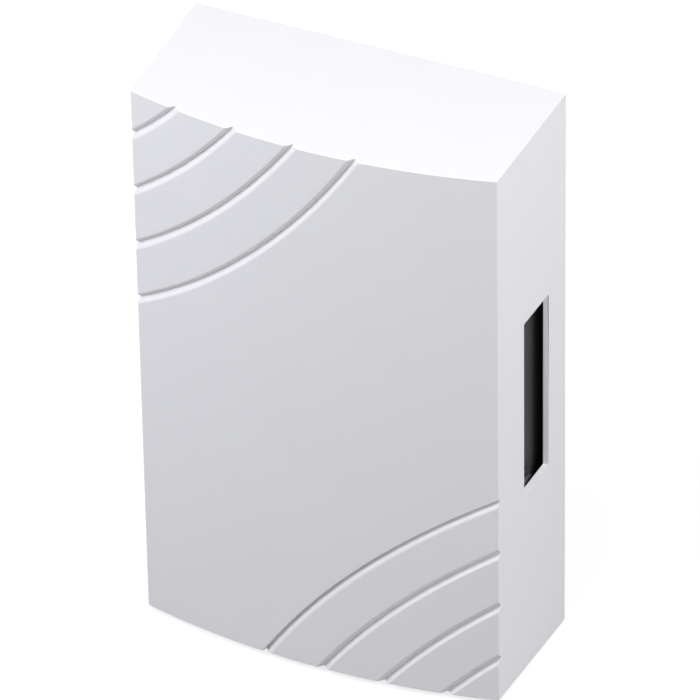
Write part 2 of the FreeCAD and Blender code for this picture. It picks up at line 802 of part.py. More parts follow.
for side, sign in sides:
    plane_offset = f"{half_coil} + ease" if side == "right" else f"-({frame_half})"
    cheek = new_sketch(frame, f"cheek_{side}", "YZ_Plane", plane_offset)
    draw_rectangle(
        cheek,
        ("-strike_depth - yoke_front", f"-({strap_rear}) - yoke_thick / 2"),
        ("-yoke_width / 2", "yoke_width / 2"),
    )
    draw_circle(cheek, "-strike_depth", "0", f"2 * ({bush_seat})")
    pad(frame, cheek, "yoke_thick")
finish(frame, "coil_frame")

# Plunger: iron core with a nylon striker rod pressed into each end and a clip for the spring

core_left = "-ding_gap - core_length / 2"
core_right = "-ding_gap + core_length / 2"
stud_hole = "stud_diameter / 2 + ease"
core = turned_body(
    "core",
    "x",
    [
        (f"{core_left} + stud_length + ease", "0"),
        (f"{core_left} + stud_length + ease", stud_hole),
        (core_left, stud_hole),
        (core_left, "core_diameter / 2 - core_chamfer"),
        (f"{core_left} + core_chamfer", "core_diameter / 2"),
        (f"{core_right} - core_chamfer", "core_diameter / 2"),
        (core_right, "core_diameter / 2 - core_chamfer"),
        (core_right, stud_hole),
        (f"{core_right} - stud_length - ease", stud_hole),
        (f"{core_right} - stud_length - ease", "0"),
    ],
)
finish(put(core, y="-strike_depth"), "plunger_core")

left_tip = f"-{plate_face} + dong_gap"
right_tip = f"{plate_face} - ding_gap"
clip_left = f"{left_tip} + clip_setback"
clip_right = f"{clip_left} + clip_thick"
groove_radius = "rod_diameter / 2 - clip_groove"


def striker_rod(name, corners, tip):
    """A rod turned from its profile, with the tip's edge rounded."""
    body = turned_body(name, "x", corners)
    doc.recompute()
    base_feature = body.Tip
    end = value(tip)
    at_tip = []
    for index, edge in enumerate(base_feature.Shape.Edges, start=1):
        limits = edge.BoundBox
        flat = limits.XLength < 0.01 and abs(limits.XMin - end) < 0.01
        if flat and limits.ZLength > value("rod_diameter") * 0.9:
            at_tip.append(f"Edge{index}")
    rounding = body.newObject("PartDesign::Fillet", name + "_tip")
    rounding.Base = (base_feature, at_tip)
    rounding.setExpression("Radius", tie("rod_tip_round"))
    body.Tip = rounding
    return finish(put(body, y="-strike_depth"), name)


striker_rod(
    "striker_rod_left",
    [
        (f"{core_left} + stud_length", "0"),
        (f"{core_left} + stud_length", "stud_diameter / 2"),
        (core_left, "stud_diameter / 2"),
        (core_left, "rod_diameter / 2"),
        (f"{clip_right} + ease", "rod_diameter / 2"),
        (f"{clip_right} + ease", groove_radius),
        (f"{clip_left} - ease", groove_radius),
        (f"{clip_left} - ease", "rod_diameter / 2"),
        (left_tip, "rod_diameter / 2"),
        (left_tip, "0"),
    ],
    left_tip,
)
striker_rod(
    "striker_rod_right",
    [
        (f"{core_right} - stud_length", "0"),
        (f"{core_right} - stud_length", "stud_diameter / 2"),
        (core_right, "stud_diameter / 2"),
        (core_right, "rod_diameter / 2"),
        (right_tip, "rod_diameter / 2"),
        (right_tip, "0"),
    ],
    right_tip,
)

clip_ring = sleeve("clip_ring", f"{groove_radius} + ease", "clip_diameter / 2", clip_left, clip_right)
clip_gap = box(
    "clip_gap",
    (f"{clip_left} - 1", f"{clip_right} + 1"),
    ("-strike_depth - clip_mouth / 2", "-strike_depth + clip_mouth / 2"),
    ("0", "clip_diameter"),
)
finish(cut("clip", clip_ring, [clip_gap]), "stop_clip")

# Wire that bends: straight runs and arcs that meet without a kink


def bend(start, corner, end):
    """The arc that leaves start towards corner and reaches end from it, both equally far away."""
    reach = (corner - start).Length
    turn = (corner - start).getAngle(end - corner)
    radius = reach / math.tan(turn / 2)
    towards = ((start + end) * 0.5 - corner).normalize()
    middle = corner + towards * (math.hypot(radius, reach) - radius)
    return Part.Arc(start, middle, end).toShape()


def wire_along(path, diameter):
    """A round wire along a path, which is straight or bent as its first edge starts."""
    start_edge = path.Edges[0]
    start = start_edge.valueAt(start_edge.FirstParameter)
    heading = start_edge.tangentAt(start_edge.FirstParameter)
    ring = Part.Wire(Part.Circle(start, heading, diameter / 2).toShape())
    return path.makePipeShell([ring], True, False)


# Return spring: light steel coil spring between the left bush and the clip

spring_curls = 8
quarters = 4 * spring_curls
spring_radius = value("spring_diameter / 2 - spring_wire / 2")
spring_start = value(f"{clip_right} + spring_gap + spring_wire / 2")
spring_end = value("-tube_left - bush_wall - spring_gap - spring_wire / 2")


def on_spring(quarter):
    """Place and heading of the spring's centreline after so many quarter turns."""
    angle = quarter * math.pi / 2
    run = (spring_end - spring_start) / quarters
    place = Vector(
        spring_start + run * quarter,
        -value("strike_depth") + spring_radius * math.cos(angle),
        spring_radius * math.sin(angle),
    )
    swing = spring_radius * math.pi / 2
    heading = Vector(run, -swing * math.sin(angle), swing * math.cos(angle))
    return place, heading.normalize()


spring_edges = []
for quarter in range(quarters):
    place, heading = on_spring(quarter)
    next_place, next_heading = on_spring(quarter + 1)
    chord = next_place - place
    both = heading + next_heading
    spread = both.dot(both) - 4
    slant = chord.dot(both)
    reach = (slant - math.sqrt(slant**2 - spread * chord.dot(chord))) / spread
    first_corner = place + heading * reach
    second_corner = next_place - next_heading * reach
    joint = (first_corner + second_corner) * 0.5
    spring_edges.append(bend(place, first_corner, joint))
    spring_edges.append(bend(joint, second_corner, next_place))

samples = [place for edge in spring_edges for place in edge.discretize(5)[:-1]]
half_turn = len(samples) // (2 * spring_curls)
least_gap = min(
    (samples[first] - samples[second]).Length - value("spring_wire")
    for first in range(len(samples))
    for second in range(first + half_turn, len(samples))
)
print(f"spring: least gap between curls {least_gap:.2f} mm")
spring = doc.addObject("Part::Feature", "spring")
spring.Shape = wire_along(Part.Wire(spring_edges), value("spring_wire"))
finish(spring, "return_spring")

# Screws: pan heads with one slot or a cross, driven from the front


def screw(name, shank, head, head_height, length, cross, place):
    """A screw whose head sits at place, its shank pointing at the wall."""
    blank = turned_body(
        name + "_blank",
        "y",
        [
            ("0", f"-({head_height})"),
            (f"({head}) / 2", f"-({head_height})"),
            (f"({head}) / 2", "0"),
            (f"({shank}) / 2", "0"),
            (f"({shank}) / 2", length),
            ("0", length),
        ],
    )
    put(blank, *place)
    x, y, z = place
    drive_y = (f"{y} - 2 * ({head_height})", f"{y} - ({head_height}) + drive_depth")
    along, across = head if not cross else f"{head} * 0.62", "drive_width"
    spans = [(along, across), (across, along)] if cross else [(along, across)]
    drives = []
    for index, (wide, high) in enumerate(spans):
        drives.append(
            box(
                f"{name}_drive_{index + 1}",
                (f"{x} - ({wide}) / 2", f"{x} + ({wide}) / 2"),
                drive_y,
                (f"{z} - ({high}) / 2", f"{z} + ({high}) / 2"),
            )
        )
    return cut(name, blank, drives)


frame_seat = f"-({strap_rear}) - yoke_thick"
frame_screws = [
    screw(
        f"frame_screw_{level}",
        "screw_shank",
        "screw_head",
        "screw_head_height",
        f"{strap_rear} + yoke_thick - screw_floor - ease",
        True,
        ("0", frame_seat, f"{way} * ear_spread"),
    )
    for level, way in levels
]
finish(group("frame_screw_pair", frame_screws), "frame_screws")

foot_seat = "-base_thick - foot_thick"
block_screws = [
    screw(
        f"block_screw_{side}",
        "screw_shank",
        "screw_head",
        "screw_head_height",
        "foot_thick + base_thick - screw_floor - ease",
        True,
        (f"{sign} * (block_width / 2 + foot_width / 2)", foot_seat, f"-{block_drop}"),
    )
    for side, sign in sides
]
finish(group("block_screw_pair", block_screws), "block_screws")

# Terminal block: moulded block with two pockets open at the front and below

block_top = f"-{block_drop} + block_height / 2"
block_bottom = f"-{block_drop} - block_height / 2"
block_front_face = "-base_thick - block_depth"
pocket_floor = f"{block_front_face} + pocket_depth"
pocket_top = f"{block_top} - block_wall"
clamp_height = f"({block_bottom} + {pocket_top}) / 2"
block_adds = [
    box(
        "block_body",
        ("-block_width / 2", "block_width / 2"),
        (block_front_face, base_front),
        (block_bottom, block_top),
    ),
    box(
        "block_feet",
        ("-block_width / 2 - foot_width", "block_width / 2 + foot_width"),
        (foot_seat, base_front),
        (block_bottom, block_top),
    ),
]
block_cuts = []
for side, sign in sides:
    centre = f"{sign} * terminal_pitch / 2"
    half_pocket = "pocket_width / 2"
    half_tag = "tag_width / 2 + 2 * ease"
    block_cuts += [
        box(
            f"pocket_{side}",
            (f"{centre} - {half_pocket}", f"{centre} + {half_pocket}"),
            (f"{block_front_face} - 1", pocket_floor),
            (f"{block_bottom} - 1", pocket_top),
        ),
        box(
            f"tag_notch_{side}",
            (f"{centre} - ({half_tag})", f"{centre} + ({half_tag})"),
            (f"{block_front_face} - 1", pocket_floor),
            (f"{pocket_top} - 1", f"{block_top} + 1"),
        ),
        cylinder(
            f"clamp_hole_{side}",
            "y",
            "clamp_shank + 2 * ease",
            (f"{pocket_floor} - 1", f"{pocket_floor} + clamp_length"),
            (centre, clamp_height),
        ),
        cylinder(
            f"foot_way_{side}",
            "y",
            "screw_shank + 2 * screw_play",
            (f"{foot_seat} - 1", "0"),
            (f"{sign} * (block_width / 2 + foot_width / 2)", f"-{block_drop}"),
        ),
    ]
finish(cut("block", fuse("block_solid", block_adds), block_cuts), "terminal_block")

# Terminals: brass contact strips with a solder tag, each with a square washer under a screw

contacts = []
washers = []
clamp_screws = []
contact_front = f"{pocket_floor} - contact_thick"
washer_front = f"{contact_front} - washer_thick"
for side, sign in sides:
    centre = f"{sign} * terminal_pitch / 2"
    contact = new_body(f"contact_{side}")
    strip = new_sketch(contact, f"contact_{side}_strip", "XZ_Plane", f"-({pocket_floor})")
    wide, narrow = "contact_width / 2", "tag_width / 2"
    strip_low = f"{block_bottom} + contact_end"
    shoulder = f"{pocket_top} - ease"
    tag_top = f"{block_top} + tag_reach"
    draw_outline(
        strip,
        [
            (f"{centre} - {wide}", strip_low),
            (f"{centre} + {wide}", strip_low),
            (f"{centre} + {wide}", shoulder),
            (f"{centre} + {narrow}", shoulder),
            (f"{centre} + {narrow}", tag_top),
            (f"{centre} - {narrow}", tag_top),
            (f"{centre} - {narrow}", shoulder),
            (f"{centre} - {wide}", shoulder),
        ],
    )
    draw_circle(strip, centre, clamp_height, "clamp_shank + 4 * ease")
    pad(contact, strip, "contact_thick")
    contacts.append(contact)

    washer = new_body(f"washer_{side}")
    square = new_sketch(washer, f"washer_{side}_square", "XZ_Plane", f"-({contact_front})")
    half_washer = "washer_width / 2"
    draw_rectangle(
        square,
        (f"{centre} - {half_washer}", f"{centre} + {half_washer}"),
        (f"{clamp_height} - {half_washer}", f"{clamp_height} + {half_washer}"),
    )
    draw_circle(square, centre, clamp_height, "clamp_shank + 4 * ease")
    pad(washer, square, "washer_thick")
    washers.append(washer)

    clamp_screws.append(
        screw(
            f"clamp_screw_{side}",
            "clamp_shank",
            "clamp_head",
            "clamp_head_height",
            "contact_thick + washer_thick + clamp_length - 4 * ease",
            False,
            (centre, washer_front, clamp_height),
        )
    )
finish(group("contact_pair", contacts), "terminal_contacts")
finish(group("washer_pair", washers), "clamp_washers")
finish(group("clamp_screw_pair", clamp_screws), "terminal_screws")

# Coil leads: insulated wires from the winding down to the solder tags


def lead_corners(way):
    """The lead's hand-laid route, from the coil's tape to its tag; way is 1 right, -1 left."""
    start_y = -value("strike_depth") + value("lead_setback")
    radius = value("lead_diameter") / 2
    offset = value("lead_setback") - radius
    start_z = -math.sqrt(value(wrap_top) ** 2 - offset**2) - 2 * value("ease")
    start_x = value("lead_spread")
    end_x = value("terminal_pitch / 2")
    end_y = value(contact_front) - radius - value("ease")
    end_z = value(f"{block_top} + tag_reach / 3")
    drop = end_z - start_z
    shares = (
        (0.00, 0.00, 0.00),
        (0.00, 0.00, 0.25),
        (0.33, 0.80, 0.50),
        (0.92, 1.00, 0.75),
        (1.00, 1.00, 1.00),
    )
    return [
        Vector(
            way * (start_x + (end_x - start_x) * across),
            start_y + (end_y - start_y) * back,
            start_z + drop * down,
        )
        for across, back, down in shares
    ]


def rounded_path(corners):
    """Straight runs joined by tangent arcs, each as large as its two runs allow."""
    edges = []
    last = corners[0]
    for before, corner, after in zip(corners, corners[1:], corners[2:]):
        run_in = corner - before
        run_out = after - corner
        reach = 0.45 * min(run_in.Length, run_out.Length)
        radius = reach / math.tan(run_in.getAngle(run_out) / 2)
        print(f"lead bend radius {radius:.1f} mm")
        start = corner - run_in.normalize() * reach
        end = corner + run_out.normalize() * reach
        edges.append(Part.LineSegment(last, start).toShape())
        edges.append(bend(start, corner, end))
        last = end
    edges.append(Part.LineSegment(last, corners[-1]).toShape())
    return Part.Wire(edges)


for side, way in (("left", -1), ("right", 1)):
    path = rounded_path(lead_corners(way))
    lead = doc.addObject("Part::Feature", f"lead_{side}")
    lead.Shape = wire_along(path, value("lead_diameter"))
    wanted = math.pi * value("lead_diameter / 2") ** 2 * path.Length
    print(f"lead {side}: volume {lead.Shape.Volume:.2f}, section times length {wanted:.2f}")
    finish(lead, f"coil_lead_{side}")

# Cable grommet: rubber ring in the base plate's hole, where the bell wire comes out of the wall

grommet_front = "-base_thick - cable_front"
cable_grommet = turned_body(
    "cable_ring",
    "y",
    [
        ("cable_bore / 2", "-2 * ease"),
        ("cable_flange / 2", "-2 * ease"),
        ("cable_flange / 2", "-cable_recess"),
        ("cable_hole / 2 - ease", "-cable_recess"),
        ("cable_hole / 2 - ease", base_front),
        ("cable_flange / 2", base_front),
        ("cable_flange / 2", grommet_front),
        ("cable_bore / 2", grommet_front),
    ],
)
finish(put(cable_grommet, z=f"-{cable_drop}"), "cable_grommet")

# Every object is checked before the sub-parts are written

doc.recompute()
for item in doc.Objects:
    if "Invalid" in item.State or "Error" in item.State:
        raise RuntimeError(f"{item.Name} failed: {item.State}")
for item in sub_parts:
    if item.Shape.isNull() or not item.Shape.isValid():
        raise RuntimeError(f"{item.Label} has no valid shape")

os.makedirs("parts", exist_ok=True)
for item in sub_parts:
    item.Shape.exportStep(os.path.join("parts", f"{item.Label}.step"))
    print(f"{item.Label}: {len(item.Shape.Solids)} solids, {item.Shape.Volume:.1f} cubic mm")
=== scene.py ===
from math import asin, atan2, cos, hypot, pi, radians, sin, sqrt, tan

import bmesh
import bpy
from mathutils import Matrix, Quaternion, Vector
from mathutils.geometry import delaunay_2d_cdt


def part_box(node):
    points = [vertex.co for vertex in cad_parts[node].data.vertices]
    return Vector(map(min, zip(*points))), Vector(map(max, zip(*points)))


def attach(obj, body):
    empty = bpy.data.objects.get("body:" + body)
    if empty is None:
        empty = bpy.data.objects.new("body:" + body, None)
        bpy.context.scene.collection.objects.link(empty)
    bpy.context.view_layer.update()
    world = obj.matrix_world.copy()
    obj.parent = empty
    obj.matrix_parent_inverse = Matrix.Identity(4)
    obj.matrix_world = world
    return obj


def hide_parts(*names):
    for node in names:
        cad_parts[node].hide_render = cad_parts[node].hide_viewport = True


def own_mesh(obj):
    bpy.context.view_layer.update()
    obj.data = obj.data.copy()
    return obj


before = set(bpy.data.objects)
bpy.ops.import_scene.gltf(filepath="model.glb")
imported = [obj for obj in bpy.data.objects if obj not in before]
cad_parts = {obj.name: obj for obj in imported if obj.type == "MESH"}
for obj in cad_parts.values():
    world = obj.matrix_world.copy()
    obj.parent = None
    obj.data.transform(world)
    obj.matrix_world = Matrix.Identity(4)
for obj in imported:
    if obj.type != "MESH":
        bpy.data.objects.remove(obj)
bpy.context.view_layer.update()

mm = 0.001

# Base plate: one black moulding that the wall screws hold. It has the brackets and pegs of the
# tone plates, the bosses of the coil and the tongues that grip the cover, all eased at the edges.

plate_edge = 0.25 * mm
cloud_size, cloud_detail = 25 * mm, 4
grain_detail = 2
sheen_spread = 0.07
weld_reach = 0.001 * mm
flat_angle, edge_angle = radians(0.5), radians(35)


def worked_surface(name, colour, roughness, grain, grain_height, stretch=(1, 1, 1), tint=0.02):
    """A finish with a fine grain, drawn out by stretch, and clouds in its colour and sheen."""
    material = bpy.data.materials.new(name)
    material.use_nodes = True
    nodes, links = material.node_tree.nodes, material.node_tree.links
    surface = nodes["Principled BSDF"]
    place = nodes.new("ShaderNodeTexCoord")
    clouds = nodes.new("ShaderNodeTexNoise")
    clouds.inputs["Scale"].default_value = 1 / cloud_size
    clouds.inputs["Detail"].default_value = cloud_detail
    links.new(place.outputs["Object"], clouds.inputs["Vector"])
    cloudy = nodes.new("ShaderNodeMix")
    cloudy.data_type = "RGBA"
    cloudy.inputs["A"].default_value = (*[part * (1 - tint) for part in colour], 1)
    cloudy.inputs["B"].default_value = (*[min(part * (1 + tint), 1) for part in colour], 1)
    links.new(clouds.outputs["Fac"], cloudy.inputs["Factor"])
    links.new(cloudy.outputs["Result"], surface.inputs["Base Color"])
    drawn_out = nodes.new("ShaderNodeMapping")
    drawn_out.inputs["Scale"].default_value = stretch
    links.new(place.outputs["Object"], drawn_out.inputs["Vector"])
    speckle = nodes.new("ShaderNodeTexNoise")
    speckle.inputs["Scale"].default_value = 1 / grain
    speckle.inputs["Detail"].default_value = grain_detail
    links.new(drawn_out.outputs["Vector"], speckle.inputs["Vector"])
    sheen = nodes.new("ShaderNodeMapRange")
    sheen.inputs["To Min"].default_value = roughness - sheen_spread
    sheen.inputs["To Max"].default_value = roughness + sheen_spread
    links.new(speckle.outputs["Fac"], sheen.inputs["Value"])
    links.new(sheen.outputs["Result"], surface.inputs["Roughness"])
    relief = nodes.new("ShaderNodeBump")
    relief.inputs["Distance"].default_value = grain_height
    links.new(speckle.outputs["Fac"], relief.inputs["Height"])
    links.new(relief.outputs["Normal"], surface.inputs["Normal"])
    return material


def dress(node, material, edge):
    """Gives a piece of the frame its material, and edges rounded enough to catch the light."""
    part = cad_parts[node]
    part.data.materials.clear()
    part.data.materials.append(material)
    welded = part.modifiers.new("welded", "WELD")
    welded.merge_threshold = weld_reach
    flat = part.modifiers.new("flat_faces", "DECIMATE")
    flat.decimate_type = "DISSOLVE"
    flat.angle_limit = flat_angle
    eased = part.modifiers.new("eased_edges", "BEVEL")
    eased.width = edge
    eased.segments = 2
    eased.limit_method = "ANGLE"
    eased.angle_limit = edge_angle
    shading = part.modifiers.new("even_shading", "WEIGHTED_NORMAL")
    shading.keep_sharp = True


black_plastic = worked_surface("black_plastic", (0.03, 0.03, 0.032), 0.5, 0.25 * mm, 0.008 * mm)
dress("base_plate", black_plastic, plate_edge)

# Cable grommet: a soft black rubber ring, pulled through the hole in the base plate until its
# groove grips the edge. The bell wire comes out of the wall through it.

rubber_edge = 0.3 * mm
black_rubber = worked_surface("black_rubber", (0.03, 0.03, 0.03), 0.72, 0.4 * mm, 0.01 * mm, tint=0.1)
dress("cable_grommet", black_rubber, rubber_edge)

# Tone plates: two strips of rolled steel, sheared to length, drilled at their still points and
# blackened in oil. They hang on the pegs in rubber grommets under pushed-on nylon caps.

sheared_edge, moulded_edge = 0.15 * mm, 0.2 * mm
dull_oil = 0.25
blackened_steel = worked_surface(
    "blackened_steel", (0.062, 0.057, 0.063), 0.55, 0.5 * mm, 0.004 * mm, (1, 1, 0.08), 0.12
)
oiled_skin = blackened_steel.node_tree.nodes["Principled BSDF"]
oiled_skin.inputs["Specular IOR Level"].default_value = dull_oil
black_nylon = worked_surface("black_nylon", (0.035, 0.035, 0.037), 0.45, 0.3 * mm, 0.003 * mm)
for pitch in ("high", "low"):
    dress(f"tone_plate_{pitch}", blackened_steel, sheared_edge)
    dress(f"{pitch}_plate_grommets", black_rubber, rubber_edge)
    dress(f"{pitch}_plate_caps", black_nylon, moulded_edge)

# Coil bobbin and winding: a nylon reel moulded in one piece, wound full of enamelled copper wire
# by machine. The wire lies under the tape.

winding_edge = 0.1 * mm
bobbin_nylon = worked_surface("bobbin_nylon", (0.7, 0.69, 0.63), 0.4, 0.35 * mm, 0.004 * mm)
enamelled_copper = worked_surface(
    "enamelled_copper", (0.55, 0.22, 0.09), 0.25, 0.2 * mm, 0.02 * mm, (1, 0.02, 0.02), 0.1
)
enamelled_copper.node_tree.nodes["Principled BSDF"].inputs["Metallic"].default_value = 1
dress("coil_bobbin", bobbin_nylon, moulded_edge)
dress("coil_winding", enamelled_copper, winding_edge)

# Tape: yellow polyester film, pulled tight on the wire, so that the wire's turns show through as
# ripples. Its free end lies over its start and makes a small step along the coil.

scene = bpy.context.scene
tape_low, tape_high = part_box("coil_tape")
coil_axis_y = (tape_low.y + tape_high.y) / 2
tape_radius = tape_high.z
film_thick, tape_thick = 0.08 * mm, 0.22 * mm
ripple = 0.03 * mm
shown_turns, steps_per_turn, steps_round = 36, 6, 96
free_end = radians(205)
crease = radians(50)
gloss_share, gloss_roughness = 0.6, 0.12


def as_object(name, mesh):
    """Turns a worked mesh into an object of the scene."""
    made = bpy.data.objects.new(name, bpy.data.meshes.new(name))
    mesh.to_mesh(made.data)
    mesh.free()
    scene.collection.objects.link(made)
    return made


def bridge(mesh, rings):
    """Lays faces between closed rings of vertices that lie side by side."""
    for near, far in zip(rings, rings[1:]):
        for index in range(len(near)):
            after = (index + 1) % len(near)
            mesh.faces.new([near[index], near[after], far[after], far[index]])


def tape_rim(mesh, x, sunk):
    """One line round the tape from its free end back over itself, sunk below the outside."""
    rim = []
    for step in range(steps_round + 1):
        share = step / steps_round
        radius = tape_radius - sunk - film_thick * share
        angle = free_end + 2 * pi * share
        rim.append(mesh.verts.new((x, coil_axis_y + radius * cos(angle), radius * sin(angle))))
    return rim


tape_mesh = bmesh.new()
columns = shown_turns * steps_per_turn
rims = [tape_rim(tape_mesh, tape_low.x, tape_thick)]
for column in range(columns + 1):
    x = tape_low.x + (tape_high.x - tape_low.x) * column / columns
    sunk = ripple * (1 - abs(cos(pi * column / steps_per_turn)))
    rims.append(tape_rim(tape_mesh, x, sunk))
rims.append(tape_rim(tape_mesh, tape_high.x, tape_thick))
rims.append(rims[0])
bridge(tape_mesh, rims)
bmesh.ops.recalc_face_normals(tape_mesh, faces=tape_mesh.faces)
tape = as_object("wound_tape", tape_mesh)
tape.data.shade_smooth()
tape.data.set_sharp_from_angle(angle=crease)
polyester_film = worked_surface("polyester_film", (0.72, 0.53, 0.11), 0.3, 2 * mm, 0.01 * mm, tint=0.08)
film = polyester_film.node_tree.nodes["Principled BSDF"]
film.inputs["Coat Weight"].default_value = gloss_share
film.inputs["Coat Roughness"].default_value = gloss_roughness
tape.data.materials.append(polyester_film)
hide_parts("coil_tape")
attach(tape, "root")

# Guide tube and bushes: a thin brass tube that the iron core runs in, and a nylon bush pushed on
# each end. The left bush is also the seat of the return spring.

tube_edge = 0.08 * mm


def metal(name, colour, roughness, grain, grain_height, stretch, tint=0.06):
    """Bare or plated metal with the marks of how it was made."""
    material = worked_surface(name, colour, roughness, grain, grain_height, stretch, tint)
    material.node_tree.nodes["Principled BSDF"].inputs["Metallic"].default_value = 1
    return material


drawn_brass = metal("drawn_brass", (0.68, 0.49, 0.22), 0.25, 0.15 * mm, 0.002 * mm, (0.03, 1, 1))
natural_nylon = worked_surface("natural_nylon", (0.78, 0.76, 0.68), 0.38, 0.4 * mm, 0.003 * mm)
dress("guide_tube", drawn_brass, tube_edge)
dress("spring_seat", natural_nylon, moulded_edge)
dress("end_bush", natural_nylon, moulded_edge)

# Coil frame: a strip of steel, pierced, bent into a yoke round the coil and plated with zinc. It
# leads the magnetism round to the core, and its ears are screwed to the bosses.

strip_edge = 0.2 * mm
plated_steel = metal("plated_steel", (0.62, 0.63, 0.64), 0.32, 0.3 * mm, 0.003 * mm, (1, 1, 1))
dress("coil_frame", plated_steel, strip_edge)

# Plunger: an iron core turned on a lathe, with a nylon striker rod pressed into each end. A steel
# clip on the left rod is what the spring pushes on.

core_edge, rod_edge, clip_edge = 0.1 * mm, 0.15 * mm, 0.1 * mm
turned_iron = metal("turned_iron", (0.42, 0.42, 0.43), 0.34, 0.12 * mm, 0.003 * mm, (1, 0.03, 0.03))
spring_steel = metal("spring_steel", (0.5, 0.5, 0.5), 0.28, 0.2 * mm, 0.002 * mm, (1, 1, 1))
dress("plunger_core", turned_iron, core_edge)
dress("striker_rod_left", natural_nylon, rod_edge)
dress("striker_rod_right", natural_nylon, rod_edge)
dress("stop_clip", spring_steel, clip_edge)

# Return spring: eight curls of drawn steel wire with the end curls wound close, loose on the left
# rod between its bush and the clip.

spring_low, spring_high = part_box("return_spring")
spring_wire, spring_curls = 0.6 * mm, 8
spring_radius = spring_high.z - spring_wire / 2
spring_run = spring_high.x - spring_low.x - spring_wire
curl_steps, wire_sides = 40, 12
closed_curls, opening_curls = 0.6, 0.9
closed_pitch = 1.02 * spring_wire


def opening(turn):
    """How far open the spring is at a turn: 0 at its closed ends, 1 in the middle."""
    from_end = min(turn, spring_curls - turn)
    share = min(max((from_end - closed_curls) / opening_curls, 0), 1)
    return share * share * (3 - 2 * share)


advance = [0]
for step in range(spring_curls * curl_steps):
    advance.append(advance[-1] + opening((step + 0.5) / curl_steps) / curl_steps)
closed_run = spring_curls * closed_pitch
along = Vector((1, 0, 0))
spring_mesh = bmesh.new()
wire_rings = []
for step, opened in enumerate(advance):
    turn = 2 * pi * step / curl_steps
    spare = (spring_run - closed_run) * opened / advance[-1]
    x = spring_low.x + spring_wire / 2 + spare + closed_run * step / (len(advance) - 1)
    out = Vector((0, cos(turn), sin(turn)))
    middle = Vector((x, coil_axis_y, 0)) + out * spring_radius
    ring = []
    for side in range(wire_sides):
        angle = 2 * pi * side / wire_sides
        offset = (out * cos(angle) + along * sin(angle)) * spring_wire / 2
        ring.append(spring_mesh.verts.new(middle + offset))
    wire_rings.append(ring)
bridge(spring_mesh, wire_rings)
spring_mesh.faces.new(wire_rings[0])
spring_mesh.faces.new(wire_rings[-1])
bmesh.ops.recalc_face_normals(spring_mesh, faces=spring_mesh.faces)
spring = as_object("curled_spring", spring_mesh)
spring.data.shade_smooth()
spring.data.set_sharp_from_angle(angle=crease)
spring.data.materials.append(spring_steel)
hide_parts("return_spring")
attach(spring, "root")
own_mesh(spring)

# Terminal block: a pale moulded block with two pockets, open at the front and below so that a
# wire's bare end slips under each washer. Two feet take the screws that hold it down.

block_edge, stamped_edge = 0.25 * mm, 0.1 * mm
pale_plastic = worked_surface("pale_plastic", (0.62, 0.61, 0.57), 0.45, 0.3 * mm, 0.006 * mm)
stamped_brass = metal("stamped_brass", (0.7, 0.52, 0.24), 0.3, 0.25 * mm, 0.002 * mm, (1, 1, 0.2))
dress("terminal_block", pale_plastic, block_edge)
dress("terminal_contacts", stamped_brass, stamped_edge)
dress("clamp_washers", plated_steel, stamped_edge)

# Screws: cold-headed steel with domed pan heads, plated with zinc. Those of the coil frame and the
# block's feet are self-tapping, and those of the terminals clamp the square washers.

head_steps, dome_steps = 40, 8
drive_width, drive_depth = 0.8 * mm, 0.9 * mm
cross_reach, slot_overrun = 0.62, 1.2
head_land, skirt_height, under_edge = 0.45, 0.45, 0.12 * mm
tapping_head, tapping_shank = 2 * mm, 1.25 * mm
clamp_head, clamp_shank = 1.8 * mm, 1.5 * mm
head_crease = radians(40)


def turned(profile, centre):
    """A solid turned round a line along Y; the profile gives its radius and its y."""
    mesh = bmesh.new()
    rings = []
    for radius, y in profile:
        rings.append([])
        for step in range(head_steps):
            angle = 2 * pi * step / head_steps
            x, z = centre.x + radius * cos(angle), centre.z + radius * sin(angle)
            rings[-1].append(mesh.verts.new((x, y, z)))
    bridge(mesh, rings)
    mesh.faces.new(rings[0])
    mesh.faces.new(rings[-1])
    bmesh.ops.recalc_face_normals(mesh, faces=mesh.faces)
    return mesh


def bar(low, high):
    """A plain bar between two corners, for cutting with or joining on."""
    mesh = bmesh.new()
    bmesh.ops.create_cube(mesh, size=1)
    for vertex in mesh.verts:
        share = vertex.co + Vector((0.5, 0.5, 0.5))
        vertex.co = low + (high - low) * share
    return mesh


def combine(block, other, operation):
    """Cuts the other block from the first, or joins it on, and takes the other away."""
    step = block.modifiers.new(operation.lower(), "BOOLEAN")
    step.operation, step.solver, step.object = operation, "EXACT", other
    worked = block.evaluated_get(bpy.context.evaluated_depsgraph_get())
    mesh = bpy.data.meshes.new_from_object(worked)
    block.modifiers.clear()
    block.data = mesh
    bpy.data.objects.remove(other)


def pan_head_screw(seat, head_radius, head_height, shank_radius, end, crossed):
    """A screw whose head sits at seat and whose shank runs back to end, with a slot or a cross."""
    top = seat.y - head_height
    skirt = head_height * skirt_height
    profile = []
    for step in range(dome_steps + 1):
        angle = step / dome_steps * pi / 2
        out = head_radius * (head_land + (1 - head_land) * sin(angle))
        profile.append((out, seat.y - skirt - (head_height - skirt) * cos(angle)))
    profile.append((head_radius, seat.y - under_edge))
    profile.append((head_radius - under_edge, seat.y))
    profile.append((shank_radius, seat.y))
    profile.append((shank_radius, end - shank_radius / 2))
    profile.append((shank_radius / 2, end))
    screw = as_object("screw", turned(profile, seat))
    bars = [(head_radius * (cross_reach if crossed else slot_overrun), drive_width / 2)]
    if crossed:
        bars.append(bars[0][::-1])
    for across, up in bars:
        low = Vector((seat.x - across, top - drive_depth, seat.z - up))
        high = Vector((seat.x + across, top + drive_depth, seat.z + up))
        combine(screw, as_object("drive", bar(low, high)), "DIFFERENCE")
    return screw


